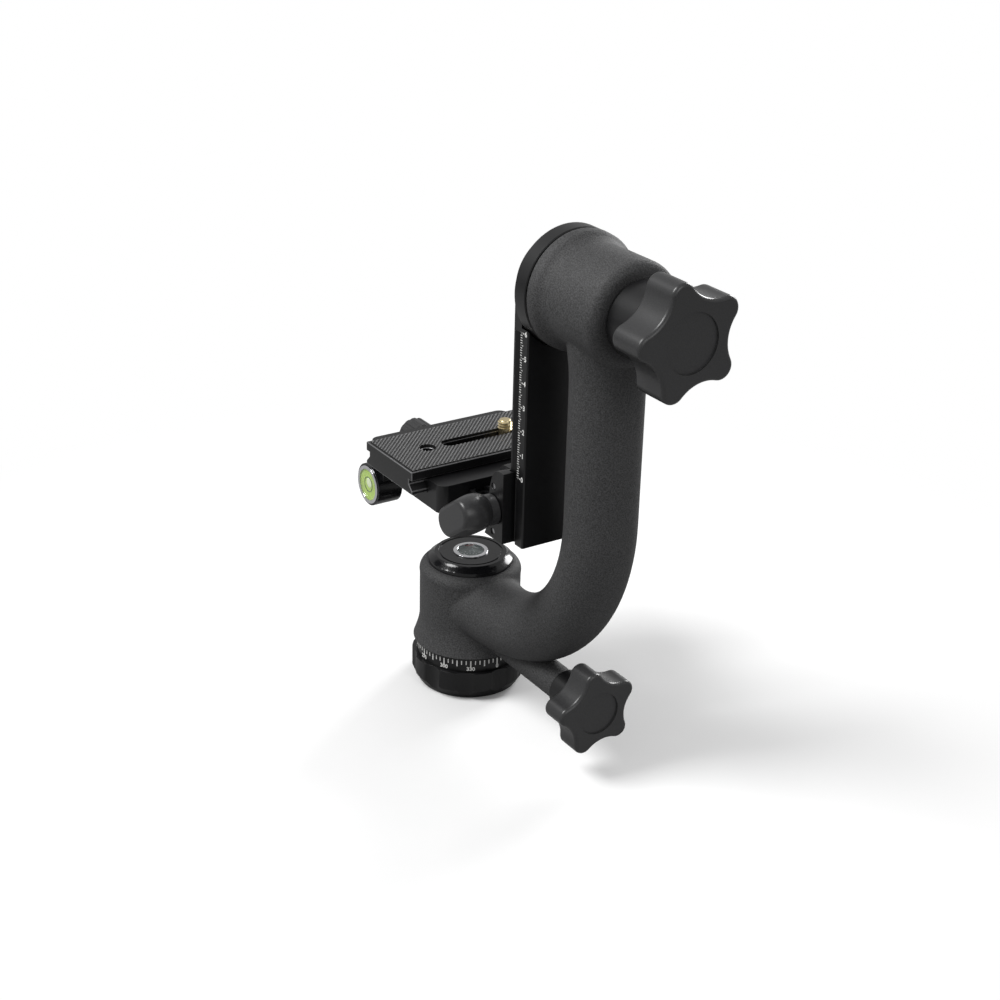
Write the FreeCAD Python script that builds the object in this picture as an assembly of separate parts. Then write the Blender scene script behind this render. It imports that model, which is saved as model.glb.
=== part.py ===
"""Gimbal tripod head: a cast J-arm that pans on a base, a swing arm that tilts on it,
and a dovetail platform that slides on the swing arm. Millimetres, +Z up.
The origin is the centre of the base's underside, on the pan axis. +X points to the arm."""

import FreeCAD, Part
import math
import os
from FreeCAD import Vector

# base: grip disc, threaded insert and degree ring
grip_r = 25.4
grip_h = 13.2
foot_r = 22.35
foot_chamfer_h = 5.0
scallop_count = 10
scallop_r = 9.0
scallop_depth = 1.3
thread_r = 3.97
insert_r = 7.5
insert_h = 10.0
degree_ring_r = 23.2
degree_ring_h = 6.4
spindle_foot_r = 18.0
spindle_foot_h = 6.0
base_screw_r = 2.0
base_screw_head_r = 3.8
base_screw_head_h = 2.0
base_screw_len = 12.4
base_screw_circle_r = 12.8
base_screw_count = 3
base_screw_sink = 0.3

# ball bearings, the same size on both axes
bearing_bore_r = 8.0
bearing_inner_wall = 2.0
bearing_outer_wall = 2.1
bearing_r = 13.5
pan_bearing_h = 4.0
pan_bearing_top_h = 6.0
tilt_bearing_w = 6.0
shield_wall = 0.5
shield_gap = 0.35

# pan spindle
spindle_r = bearing_bore_r
spindle_neck_r = 6.0
spindle_neck_h = 5.4
nut_r = 9.9
nut_h = 4.6
nut_notch_w = 2.6
nut_notch_depth = 1.2
nut_notch_count = 4

# housing at the foot of the cast arm
housing_bottom = 20.0
skirt_r = 24.9
flare_r = 23.2
flare_z = 25.6
waist_r = 22.2
waist_z = 32.0
shoulder_z = 51.6
housing_top = 57.0
bearing_gap_z = 1.2
shaft_bore_r = 9.0
top_bearing_z = 40.2
top_bore_r = 15.5

# cast arm
arm_r = 14.5
arm_x = 94.0
bend_r = 72.4
arm_top_drop = 1.7
root_swell_w = 5.5
root_swell_h = 0.9
root_angle = 18.0
root_blend_share = 0.63
top_swell_w = 2.4
top_swell_h = 1.5
top_swell_z0 = 36.0
top_swell_z1 = 8.0

# tilt hub, its axis lies along X
tilt_z = 201.6
hub_x0 = 73.0
hub_x1 = 110.5
hub_r = 20.8
hub_flange_r = 23.8
hub_flange_w = 4.0
hub_flare_w = 6.5
hub_edge_r = 4.5
hub_bearing_inset = 1.0
hub_end_w = 3.5
hub_mid_bore_r = 10.5

# top cap with compass
cap_r = 18.5
cap_rim_h = 1.7
cap_bevel_w = 2.4
cap_bevel_h = 1.8
cap_crown_w = 0.3
cap_h = 4.0
cap_groove_r = 13.4
cap_groove_w = 0.8
cap_groove_depth = 0.5
cap_spigot_h = 4.0
cap_spigot_wall = 2.4
compass_r = 7.0
compass_depth = 5.2
compass_wall = 0.7
compass_ring_r = 7.6
compass_ring_h = 0.5
dial_h = 0.6
lens_h = 0.7
needle_len = 9.6
needle_w = 1.5
needle_h = 0.35
needle_pivot_r = 0.35
needle_gap = 0.3

# pan lock: boss, stud, shoe and knob along X
pan_lock_z = 29.9
boss_r = 6.95
boss_x1 = 74.3
stud_r = 3.0
shoe_r = 4.0
shoe_len = 8.0
shoe_gap = 0.15
shoe_socket_r = 2.1
shoe_socket_depth = 2.6
pan_lock_travel = 1.3
pan_neck_r = 8.45
pan_knob_x0 = 86.7
pan_knob_x1 = 99.2
pan_knob_r = 18.6
pan_knob_valley_r = 13.6
pan_knob_lobe_r = 4.3
pan_knob_phase = 99.5
stud_in_knob = 6.5

# tilt flange, axle and knob along X
flange_r = 23.75
flange_x1 = 72.1
flange_chamfer = 1.4
thrust_washer_h = 0.6
thrust_washer_r = 21.0
axle_head_r = 12.0
axle_head_h = 2.1
axle_thread_r = 5.0
axle_thread_x1 = 122.0
press_washer_r = 13.2
press_washer_h = 3.0
press_washer_gap = 0.3
tilt_neck_r = 15.0
tilt_neck_spigot_r = 9.0
tilt_knob_x0 = 125.7
tilt_knob_x1 = 142.2
tilt_knob_r = 23.2
tilt_knob_valley_r = 16.8
tilt_knob_lobe_r = 5.2
tilt_knob_phase = 104.9
knob_insert_r = 8.0
knob_insert_len = 12.5
knob_edge_r = 1.6
knob_dish_r_share = 0.5
knob_dish_depth = 0.8

# swing arm with its dovetail rail
rail_half = 19.1
rail_x0 = 58.3
rail_back_w = 5.5
rail_w = 10.0
rail_z0 = 95.35
step_gap = 0.65
dovetail_lip = 1.5
dovetail_depth = 2.6
dovetail_neck = 0.6
rail_edge = 0.5
rail_stop_x = 60.6
rail_stop_head_r = 3.4
rail_stop_head_h = 1.6
rail_stop_r = 1.5
rail_stop_len = 8.0
axle_cap_r = 17.8
axle_cap_disc_r = 15.6
axle_cap_rim_h = 0.5
axle_cap_h = 1.2
flange_screw_r = 1.5
flange_screw_head_r = 2.4
flange_screw_head_h = 1.7
flange_screw_len = 8.5
flange_screw_circle_r = 15.1
flange_screw_count = 4

# bracket on the rail
bracket_x0 = 50.0
bracket_z0 = 95.6
bracket_z1 = 126.0
bracket_y0 = -18.5
bracket_y1 = 23.4
bracket_top_r = 4.0
slide_gap = 0.3
hook_gap = 0.4
hook_x1 = 61.2
hook_tip_w = 0.3
height_travel = 56.0

# leg and foot between the bracket and the clamp
leg_x0 = -17.0
leg_half = 20.7
leg_top_z = 98.4
foot_x0 = 31.0
foot_x1 = 47.5
foot_top_z = 107.0
foot_fillet_r = 4.5
leg_screw_x = 34.5
leg_screw_y = 15.5
leg_screw_recess_r = 4.0
leg_screw_head_r = 3.4
leg_screw_head_h = 3.0
leg_screw_sink = 1.4
leg_screw_r = 1.8
leg_screw_hex_r = 1.7

# moving rail jaw and its wing knob along Y
jaw_split = 0.3
jaw_y0 = -24.0
jaw_lean = [(48.0, 95.6), (50.9, 112.7), (52.1, 120.0), (54.9, 124.8), (58.0, 126.0)]
height_lock_x = 54.1
height_lock_z = 108.5
height_stud_len = 18.0
wing_neck_r = 6.4
wing_neck_len = 4.0
wing_len = 24.0
wing_w = 15.0
wing_depth = 15.5
wing_edge_r = 2.0
wing_hub_len = 0.56
wing_hub_w = 0.85
wing_end_len = 0.96
wing_end_w = 0.78
wing_turn = -36.0
jaw_dowel_r = 1.25
jaw_dowel_dz = 9.8
jaw_dowel_len = 8.0

# quick-release plate
plate_x = 0.9
plate_half = 19.0
plate_len = 83.0
plate_top = 114.8
plate_t = 10.0
rim_w = 1.2
pad_recess = 0.9
pad_t = 1.3
plate_hole_y = -22.7
plate_hole_r = 2.6
slot_y0 = -15.5
slot_y1 = 22.0
slot_half = 3.4
slot_wide_half = 6.3
slot_wide_depth = 5.6
pad_slot_margin = 0.9
stop_screw_r = 1.7
stop_screw_h = 1.2
stop_screw_thread_r = 1.0
stop_screw_thread_len = 4.0
stop_screw_inset = 3.1

# camera screw, 1/4 inch
camera_screw_r = 3.175
camera_screw_proud = 5.4
camera_shank_r = 2.55
camera_screw_y = 15.7
screw_head_r = 5.6
screw_head_h = 3.6
screw_slot_w = 1.2
screw_slot_depth = 1.4
screw_washer_r = 5.9
screw_washer_h = 0.5

# clamp under the plate
stop_travel = 2.7
clamp_z0 = leg_top_z
clamp_top = 110.6
clamp_x1 = 30.5
clamp_corner_r = 4.0
bed_gap = 0.3
grip_gap = 0.3
clamp_jaw_w = 11.0
clamp_stud_r = 2.0
clamp_stud_len = 24.0
clamp_lock_y = -4.0
clamp_lock_z = 101.4
guide_pin_r = 1.5
guide_pin_y = 22.0
guide_pin_len = 19.0
clamp_neck_r = 5.0
clamp_neck_len = 3.2
clamp_knob_r = 7.8
clamp_knob_w = 11.0
clamp_knob_flutes = 14
clamp_knob_flute_r = 1.2
clamp_screw_x = (-8.0, 22.0)
clamp_screw_y = 12.0
clamp_screw_r = 1.5
clamp_screw_head_r = 2.9
clamp_screw_head_h = 1.5
clamp_screw_len = 7.4

# bubble level under the moving jaw's corner
level_x = -30.2
level_z = 88.6
level_r = 9.4
level_len = 11.5
vial_r = 7.0
vial_len = 4.6
bezel_r = 8.5
bezel_h = 0.6
bezel_wall = 1.5
lug_x0 = -29.0
lug_x1 = -19.6
lug_z0 = 93.6
lug_inset = 1.6
level_screw_r = 1.25
level_screw_head_r = 2.2
level_screw_head_h = 1.4
level_screw_x = -22.4
level_screw_len = 8.0

# shared clearances
fit = 0.05
run = 0.08
face_gap = 0.4

X = Vector(1, 0, 0)
Y = Vector(0, 1, 0)
Z = Vector(0, 0, 1)

# places worked out from the sizes above
ring_top = grip_h + degree_ring_h
spindle_foot_top = insert_h + spindle_foot_h
low_bearing_z = housing_bottom + bearing_gap_z
top_bearing_end = top_bearing_z + pan_bearing_top_h
spindle_end = top_bearing_end + spindle_neck_h
arm_low_z = housing_top - arm_r - arm_top_drop
root_blend_r = root_blend_share * (arm_low_z - arm_r - housing_bottom)
bend_x = arm_x - bend_r
bend_z = arm_low_z + bend_r

# how far along and how much the bar swells, as shares of the sizes above
root_profile = ((0.05, 1.0, 1.0), (0.37, 0.86, 0.9), (0.7, 0.55, 0.6), (1.0, 0.26, 0.3))
root_bend_profile = ((1 / 3, 0.09, 0.1), (2 / 3, 0.015, 0.014), (1.0, 0.0, 0.0))
top_profile = ((0.0, 0.0), (0.2, 0.03), (0.42, 0.2), (0.66, 0.6), (1.0, 1.0))

cap_z = housing_top
cap_top = cap_z + cap_h
compass_floor = cap_top - compass_depth
rail_x1 = rail_x0 + rail_w
flange_x0 = rail_x0 + rail_back_w
dovetail_x1 = rail_x0 + dovetail_lip + dovetail_depth
groove_x1 = dovetail_x1 + dovetail_neck
hook_x0 = rail_x0 + dovetail_lip
step_r = flange_r + step_gap
step_side_z = tilt_z - math.sqrt(step_r ** 2 - rail_half ** 2)
groove_top = bracket_z1 + height_travel + dovetail_depth
tilt_bearing_x = (hub_x0 + hub_bearing_inset, hub_x1 - hub_bearing_inset - tilt_bearing_w - hub_end_w)
axle_shoulder_x = tilt_bearing_x[1] + tilt_bearing_w
press_x0 = axle_shoulder_x + press_washer_gap
neck_x0 = hub_x1 + face_gap
pan_neck_x0 = boss_x1 + face_gap
plate_bottom = plate_top - plate_t
plate_y1 = plate_len / 2
plate_lip_z = plate_bottom + dovetail_lip
clamp_half = plate_y1 - stop_screw_inset - stop_screw_r - stop_travel
plate_neck_z = plate_lip_z + dovetail_depth
plate_slab_z = plate_neck_z + 2.0
bed_top = plate_bottom - bed_gap
clamp_inner = plate_half + grip_gap
clamp_jaw_x1 = plate_x - clamp_inner
clamp_jaw_x0 = clamp_jaw_x1 - clamp_jaw_w
level_y0 = -clamp_half
jaw_inner = bracket_y0 - jaw_split
camera_screw_top = plate_top + camera_screw_proud


def rod_z(r, z0, z1, x=0.0, y=0.0):
    return Part.makeCylinder(r, z1 - z0, Vector(x, y, z0), Z)


def rod_x(r, x0, x1, y=0.0, z=0.0):
    return Part.makeCylinder(r, x1 - x0, Vector(x0, y, z), X)


def rod_y(r, y0, y1, x=0.0, z=0.0):
    return Part.makeCylinder(r, y1 - y0, Vector(x, y0, z), Y)


def block(x0, x1, y0, y1, z0, z1):
    return Part.makeBox(x1 - x0, y1 - y0, z1 - z0, Vector(x0, y0, z0))


def face_of(points):
    """A flat face through the points, in order."""
    return Part.Face(Part.makePolygon(list(points) + [points[0]]))


def turned_z(points):
    """Revolves (radius, height) points about the pan axis."""
    face = face_of([Vector(r, 0, z) for r, z in points])
    return face.revolve(Vector(0, 0, 0), Z, 360)


def turned_x(points, z=tilt_z, y=0.0):
    """Revolves (x, radius) points about an axis along X."""
    face = face_of([Vector(x, y, z + r) for x, r in points])
    return face.revolve(Vector(0, y, z), X, 360)


def extruded_z(points, z0, z1):
    """Extrudes an (x, y) outline from z0 to z1."""
    return face_of([Vector(x, y, z0) for x, y in points]).extrude(Z * (z1 - z0))


def extruded_y(points, y0, y1):
    """Extrudes an (x, z) outline from y0 to y1."""
    return face_of([Vector(x, y0, z) for x, z in points]).extrude(Y * (y1 - y0))


def around(shape, count, axis, centre=Vector(0, 0, 0)):
    """Copies a shape evenly about an axis."""
    copies = []
    for i in range(count):
        copy = shape.copy()
        copy.rotate(centre, axis, 360.0 * i / count)
        copies.append(copy)
    return copies


def joined(shapes):
    """Fuses shapes that overlap into one clean solid."""
    return shapes[0].fuse(shapes[1:]).removeSplitter()


def edges_where(shape, test):
    """The edges whose bounding box passes the test."""
    return [e for e in shape.Edges if test(e.BoundBox)]


def slot_z(half, y0, y1, z0, z1, x):
    """A slot along Y with round ends, cut from z0 to z1."""
    middle = block(x - half, x + half, y0 + half, y1 - half, z0, z1)
    ends = [rod_z(half, z0, z1, x, y0 + half), rod_z(half, z0, z1, x, y1 - half)]
    return joined([middle] + ends)


def star_face(x, z, tip_r, valley_r, lobe_r, phase):
    """A five-lobed outline across X: round tips joined by hollow arcs that meet them smoothly."""
    lobes = 5
    half = math.pi / lobes
    tip_c = tip_r - lobe_r
    top = lobe_r ** 2 - tip_c ** 2 - valley_r ** 2 + 2 * tip_c * valley_r * math.cos(half)
    hollow_r = top / (2 * (valley_r - tip_c * math.cos(half) - lobe_r))
    hollow_c = valley_r + hollow_r

    def at(radius, angle):
        return Vector(x, radius * math.cos(angle), z + radius * math.sin(angle))

    edges = []
    for i in range(lobes):
        a = math.radians(phase) + 2 * half * i
        tip = at(tip_c, a)
        before = at(hollow_c, a - half)
        after = at(hollow_c, a + half)
        start = tip + (before - tip).normalize() * lobe_r
        end = tip + (after - tip).normalize() * lobe_r
        next_tip = at(tip_c, a + 2 * half)
        next_start = next_tip + (after - next_tip).normalize() * lobe_r
        edges.append(Part.Arc(start, at(tip_r, a), end).toShape())
        edges.append(Part.Arc(end, at(valley_r, a + half), next_start).toShape())
    return Part.Face(Part.Wire(edges))


def star_knob(x0, x1, z, tip_r, valley_r, lobe_r, phase):
    """A lobed knob with rounded edges and a shallow dish in its front."""
    body = star_face(x0, z, tip_r, valley_r, lobe_r, phase).extrude(X * (x1 - x0))
    rims = edges_where(body, lambda b: b.XLength < fit)
    body = body.makeFillet(knob_edge_r, rims)
    dish = rod_x(tip_r * knob_dish_r_share, x1 - knob_dish_depth, x1 + 1, 0, z)
    return body.cut(dish)


# base

def base_grip():
    """The scalloped disc that the hand turns to screw the head onto its mount."""
    disc = turned_z([(0, 0), (foot_r, 0), (grip_r, foot_chamfer_h), (grip_r, grip_h), (0, grip_h)])
    offset = grip_r + scallop_r - scallop_depth
    scallop = rod_z(scallop_r, -1, grip_h + 1, offset, 0)
    disc = disc.cut(around(scallop, scallop_count, Z))
    disc = disc.cut(rod_z(insert_r, 0, insert_h))
    disc = disc.cut(rod_z(spindle_foot_r, insert_h, grip_h))
    return disc.cut(base_screw_cuts())


def base_screw_shape(extra):
    """One countersunk screw, or the room for it when extra is above zero."""
    z0 = base_screw_sink
    slope = base_screw_head_h / (base_screw_head_r - base_screw_r)
    head_end = z0 + base_screw_head_h - extra * slope
    tip = z0 + base_screw_len
    outline = [(0, z0), (base_screw_head_r, z0), (base_screw_r + extra, head_end)]
    outline += [(base_screw_r + extra, tip + extra), (0, tip + extra)]
    screw = turned_z(outline)
    screw.translate(Vector(base_screw_circle_r, 0, 0))
    return screw


def base_screw_cuts():
    cuts = around(base_screw_shape(fit), base_screw_count, Z)
    mouth_r = base_screw_head_r + fit
    mouth = rod_z(mouth_r, -1, base_screw_sink, base_screw_circle_r, 0)
    return cuts + around(mouth, base_screw_count, Z)


def base_screws():
    socket = rod_z(base_screw_r * 0.6, 0, base_screw_sink + base_screw_head_h * 0.6, base_screw_circle_r, 0)
    return Part.makeCompound(around(base_screw_shape(0).cut(socket), base_screw_count, Z))


def thread_insert():
    return rod_z(insert_r - fit, 0, insert_h).cut(rod_z(thread_r, -1, insert_h + 1))


def degree_ring():
    ring = turned_z([(spindle_foot_r + fit, grip_h), (degree_ring_r, grip_h), (degree_ring_r, ring_top - 0.6),
                     (degree_ring_r - 0.6, ring_top), (spindle_foot_r + fit, ring_top)])
    return ring


def pan_spindle():
    """The steel shaft that the arm turns on, with a foot that the base screws hold."""
    foot = rod_z(spindle_foot_r - fit, insert_h, spindle_foot_top)
    shaft = rod_z(spindle_r, insert_h, top_bearing_end)
    neck = rod_z(spindle_neck_r, insert_h, spindle_end)
    spindle = joined([foot, shaft, neck])
    return spindle.cut(around(base_screw_shape(fit), base_screw_count, Z))


def spindle_nut():
    """The slotted ring nut that keeps the arm on its bearings."""
    z0 = top_bearing_end + fit
    nut = rod_z(nut_r, z0, z0 + nut_h).cut(rod_z(spindle_neck_r + fit, z0 - 1, z0 + nut_h + 1))
    notch = block(nut_r - nut_notch_depth, nut_r + 1, -nut_notch_w / 2, nut_notch_w / 2, z0 - 1, z0 + nut_h + 1)
    return nut.cut(around(notch, nut_notch_count, Z))


# bearings

def inner_race_z(z0, h):
    race_r = bearing_bore_r + bearing_inner_wall
    return rod_z(race_r, z0, z0 + h).cut(rod_z(bearing_bore_r + fit / 2, z0 - 1, z0 + h + 1))


def outer_race_z(z0, h):
    """An outer race with a thin shield at each face that closes the ball space."""
    race_r = bearing_bore_r + bearing_inner_wall
    bore = rod_z(bearing_r - bearing_outer_wall, z0 + shield_wall, z0 + h - shield_wall)
    mouth = rod_z(race_r + shield_gap, z0 - 1, z0 + h + 1)
    return rod_z(bearing_r, z0, z0 + h).cut(joined([bore, mouth]))


def on_tilt_axis(shape, x0):
    """Turns a race made about Z from z = 0 so that it lies on the tilt axis from x0."""
    copy = shape.copy()
    copy.rotate(Vector(0, 0, 0), Y, 90)
    copy.translate(Vector(x0, 0, tilt_z))
    return copy


def pan_inner_races():
    return Part.makeCompound([inner_race_z(low_bearing_z, pan_bearing_h),
                              inner_race_z(top_bearing_z, pan_bearing_top_h)])


def pan_outer_races():
    return Part.makeCompound([outer_race_z(low_bearing_z, pan_bearing_h),
                              outer_race_z(top_bearing_z, pan_bearing_top_h)])


def tilt_inner_races():
    return Part.makeCompound([on_tilt_axis(inner_race_z(0, tilt_bearing_w), x) for x in tilt_bearing_x])


def tilt_outer_races():
    return Part.makeCompound([on_tilt_axis(outer_race_z(0, tilt_bearing_w), x) for x in tilt_bearing_x])


# cast arm

def bend_point(angle):
    """A point on the bend's middle line, counted in degrees from its low end."""
    a = math.radians(angle)
    return Vector(bend_x + bend_r * math.sin(a), 0, bend_z - bend_r * math.cos(a))


def bar_section(centre, up, half_w, half_h):
    """A cross-section of the bar, half_w wide along Y and half_h along up."""
    if half_w > half_h:
        curve = Part.Ellipse(centre + Y * half_w, centre + up * half_h, centre)
    else:
        curve = Part.Circle(centre, Y.cross(up), half_w)
        curve.XAxis = Y
    return Part.Wire([curve.toShape()])


def root_sections():
    """The bar's sections from inside the housing to where it is round."""
    sections = []
    for share, swell_w, swell_h in root_profile:
        centre = Vector(bend_x * share, 0, arm_low_z)
        sections.append(bar_section(centre, Z, arm_r + root_swell_w * swell_w, arm_r + root_swell_h * swell_h))
    for share, swell_w, swell_h in root_bend_profile:
        angle = root_angle * share
        a = math.radians(angle)
        up = Vector(-math.sin(a), 0, math.cos(a))
        sections.append(bar_section(bend_point(angle), up, arm_r + root_swell_w * swell_w,
                                    arm_r + root_swell_h * swell_h))
    return sections


def top_sections():
    """The bar's sections where it widens into the hub."""
    sections = []
    for share, swell in top_profile:
        drop = top_swell_z0 + (top_swell_z1 - top_swell_z0) * share
        sections.append(bar_section(Vector(arm_x, 0, tilt_z - drop), -X, arm_r + top_swell_w * swell,
                                    arm_r + top_swell_h * swell))
    return sections


def arm_bar():
    """The round bar of the J: out from the housing, up through the bend and on to the hub."""
    root = root_sections()
    top = top_sections()
    middle_angle = (root_angle + 90) / 2
    bend = Part.Arc(bend_point(root_angle), bend_point(middle_angle), bend_point(90)).toShape()
    path = Part.Wire([bend, Part.makeLine(bend_point(90), Vector(arm_x, 0, tilt_z - top_swell_z0))])
    return joined([Part.makeLoft(root, True, False), path.makePipeShell([root[-1]], True, False),
                   Part.makeLoft(top, True, False)])


def housing_body():
    """The turned form round the pan axis: skirt, waist and rounded shoulder."""
    top_edge_r = cap_r + fit
    start = Vector(skirt_r, 0, housing_bottom + 0.5)
    wire = [Part.makeLine(Vector(0, 0, housing_bottom), Vector(skirt_r - 0.5, 0, housing_bottom)),
            Part.makeLine(Vector(skirt_r - 0.5, 0, housing_bottom), start)]
    flare = Part.BSplineCurve()
    flare.interpolate(Points=[start, Vector(flare_r, 0, flare_z), Vector(waist_r, 0, waist_z)],
                      InitialTangent=Vector(-0.4, 0, 1), FinalTangent=Vector(0, 0, 1))
    wire.append(flare.toShape())
    wire.append(Part.makeLine(Vector(waist_r, 0, waist_z), Vector(waist_r, 0, shoulder_z)))
    mid_r = waist_r - (waist_r - top_edge_r) * 0.22
    mid_z = shoulder_z + (housing_top - shoulder_z) * 0.72
    wire.append(Part.Arc(Vector(waist_r, 0, shoulder_z), Vector(mid_r, 0, mid_z),
                         Vector(top_edge_r, 0, housing_top)).toShape())
    wire.append(Part.makeLine(Vector(top_edge_r, 0, housing_top), Vector(0, 0, housing_top)))
    wire.append(Part.makeLine(Vector(0, 0, housing_top), Vector(0, 0, housing_bottom)))
    body = Part.Face(Part.Wire(wire)).revolve(Vector(0, 0, 0), Z, 360)
    body.rotate(Vector(0, 0, 0), Z, 180)
    return body


def hub_body():
    """The turned hub: a flange beside the swing arm, a flare and a round-edged barrel."""
    flare_x = hub_x0 + hub_flange_w
    barrel_x = flare_x + hub_flare_w
    edge_x = hub_x1 - hub_edge_r
    rim_r = hub_r - hub_edge_r
    bow = math.sin(math.pi / 4)
    points = [Vector(hub_x0, 0, tilt_z), Vector(hub_x0, 0, tilt_z + hub_flange_r - 0.4),
              Vector(hub_x0 + 0.4, 0, tilt_z + hub_flange_r), Vector(flare_x, 0, tilt_z + hub_flange_r - 0.2)]
    wire = [Part.makeLine(a, b) for a, b in zip(points, points[1:])]
    flare = Part.Arc(points[-1], Vector(flare_x + hub_flare_w * 0.42, 0, tilt_z + (hub_r + hub_flange_r) / 2 - 0.5),
                     Vector(barrel_x, 0, tilt_z + hub_r))
    wire.append(flare.toShape())
    wire.append(Part.makeLine(Vector(barrel_x, 0, tilt_z + hub_r), Vector(edge_x, 0, tilt_z + hub_r)))
    wire.append(Part.Arc(Vector(edge_x, 0, tilt_z + hub_r),
                         Vector(edge_x + hub_edge_r * bow, 0, tilt_z + rim_r + hub_edge_r * bow),
                         Vector(hub_x1, 0, tilt_z + rim_r)).toShape())
    wire.append(Part.makeLine(Vector(hub_x1, 0, tilt_z + rim_r), Vector(hub_x1, 0, tilt_z)))
    wire.append(Part.makeLine(Vector(hub_x1, 0, tilt_z), points[0]))
    return Part.Face(Part.Wire(wire)).revolve(Vector(0, 0, tilt_z), X, 360)


def housing_bores():
    low_end = low_bearing_z + pan_bearing_h + fit
    return [rod_z(bearing_r + fit, housing_bottom - 1, low_end),
            rod_z(shaft_bore_r, low_end - fit, top_bearing_z),
            rod_z(bearing_r + fit, top_bearing_z - fit, top_bearing_end),
            rod_z(top_bore_r, top_bearing_end, housing_top + 1)]


def hub_bores():
    first_end = tilt_bearing_x[0] + tilt_bearing_w + fit
    return [rod_x(bearing_r + fit, hub_x0 - 1, first_end, 0, tilt_z),
            rod_x(hub_mid_bore_r, first_end - fit, tilt_bearing_x[1], 0, tilt_z),
            rod_x(bearing_r + fit, tilt_bearing_x[1] - fit, hub_x1 + 1, 0, tilt_z)]


def pan_lock_bores():
    shoe_end = spindle_r + shoe_gap + shoe_len + pan_lock_travel + face_gap
    return [rod_x(shoe_r + run, spindle_r, shoe_end, 0, pan_lock_z),
            rod_x(stud_r + run, shoe_end - fit, boss_x1 + 1, 0, pan_lock_z)]


def arm_casting():
    """One casting: housing, round bar, hub and the boss of the pan lock."""
    solid = blended(joined([housing_body(), arm_bar()]))
    solid = joined([solid, hub_body(), rod_x(boss_r, spindle_r + shaft_bore_r, boss_x1, 0, pan_lock_z)])
    return solid.cut(housing_bores() + hub_bores() + pan_lock_bores())


def blended(solid):
    """Rounds the hollow corner where the bar leaves the housing."""
    corner = [e for e in edges_where(solid, lambda b: b.XMin > arm_r / 2 and b.XMax < bend_x + arm_r / 2
                                     and b.ZMax < housing_top)
              if type(e.Curve).__name__ not in ("Circle", "Line")]
    return solid.makeFillet(root_blend_r, corner)


def thrust_washer():
    x0 = hub_x0 - thrust_washer_h
    return rod_x(thrust_washer_r, x0, x0 + thrust_washer_h, 0, tilt_z).cut(
        rod_x(bearing_bore_r + 1, x0 - 1, x0 + 2, 0, tilt_z))


# top cap and compass

def top_cap():
    """The gloss cap that covers the spindle nut and holds the compass."""
    rim_top = cap_z + cap_rim_h
    bevel_r = cap_r - cap_bevel_w
    bevel_top = rim_top + cap_bevel_h
    spigot_r = top_bore_r - fit
    spigot_z = cap_z - cap_spigot_h
    floor_z = compass_floor - compass_wall
    outline = [(0, floor_z), (compass_r + compass_wall, floor_z), (compass_r + compass_wall, cap_z - fit),
               (spigot_r - cap_spigot_wall, cap_z - fit), (spigot_r - cap_spigot_wall, spigot_z),
               (spigot_r, spigot_z), (spigot_r, cap_z), (cap_r, cap_z), (cap_r, rim_top),
               (bevel_r, bevel_top), (bevel_r - cap_crown_w, cap_top), (cap_groove_r + cap_groove_w, cap_top),
               (cap_groove_r + cap_groove_w, cap_top - cap_groove_depth),
               (cap_groove_r, cap_top - cap_groove_depth), (cap_groove_r, cap_top), (0, cap_top)]
    cap = turned_z(outline)
    return cap.cut(rod_z(compass_r, compass_floor, cap_top + 1))


def compass_cup():
    inner_r = compass_r - fit - compass_wall
    cup = rod_z(compass_r - fit, compass_floor, cap_top)
    return cup.cut(rod_z(inner_r, compass_floor + compass_wall, cap_top + 1))


def compass_dial():
    z0 = compass_floor + compass_wall
    disc = rod_z(compass_r - compass_wall - 2 * fit, z0, z0 + dial_h)
    return joined([disc, rod_z(needle_pivot_r, z0, z0 + dial_h + needle_gap * 3)])


def compass_needle():
    """A rhombic needle that floats on the dial's pivot."""
    z0 = compass_floor + compass_wall + dial_h + needle_gap
    half = needle_len / 2
    outline = [(0, half), (needle_w / 2, 0), (0, -half), (-needle_w / 2, 0)]
    needle = extruded_z(outline, z0, z0 + needle_h)
    hub = rod_z(needle_w / 2, z0, z0 + needle_h)
    return joined([needle, hub]).cut(rod_z(needle_pivot_r + run, z0 - 1, z0 + 1))


def compass_lens():
    r = compass_r - compass_wall - 2 * fit
    return rod_z(r, cap_top - lens_h, cap_top)


def compass_ring():
    ring = rod_z(compass_ring_r, cap_top, cap_top + compass_ring_h)
    return ring.cut(rod_z(compass_r - compass_wall - 0.4, cap_top - 1, cap_top + 1))


# pan lock

def pan_shoe():
    """The brass shoe that presses on the spindle; the stud's tip turns in its socket."""
    x0 = spindle_r + shoe_gap
    shoe = rod_x(shoe_r, x0, x0 + shoe_len, 0, pan_lock_z)
    return shoe.cut(rod_x(shoe_socket_r, x0 + shoe_len - shoe_socket_depth, x0 + shoe_len + 1, 0, pan_lock_z))


def pan_stud():
    shoe_end = spindle_r + shoe_gap + shoe_len
    tip = rod_x(shoe_socket_r - run, shoe_end - shoe_socket_depth + fit, shoe_end + 1, 0, pan_lock_z)
    stud = rod_x(stud_r, shoe_end + fit * 4, pan_knob_x0 + stud_in_knob, 0, pan_lock_z)
    return joined([tip, stud])


def pan_knob_neck():
    neck = rod_x(pan_neck_r, pan_neck_x0, pan_knob_x0, 0, pan_lock_z)
    rims = edges_where(neck, lambda b: b.XLength < fit and b.XMax < pan_knob_x0 - 1)
    neck = neck.makeChamfer(0.8, rims)
    return neck.cut(rod_x(stud_r + fit / 2, pan_neck_x0 - 1, pan_knob_x0 + 1, 0, pan_lock_z))


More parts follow.
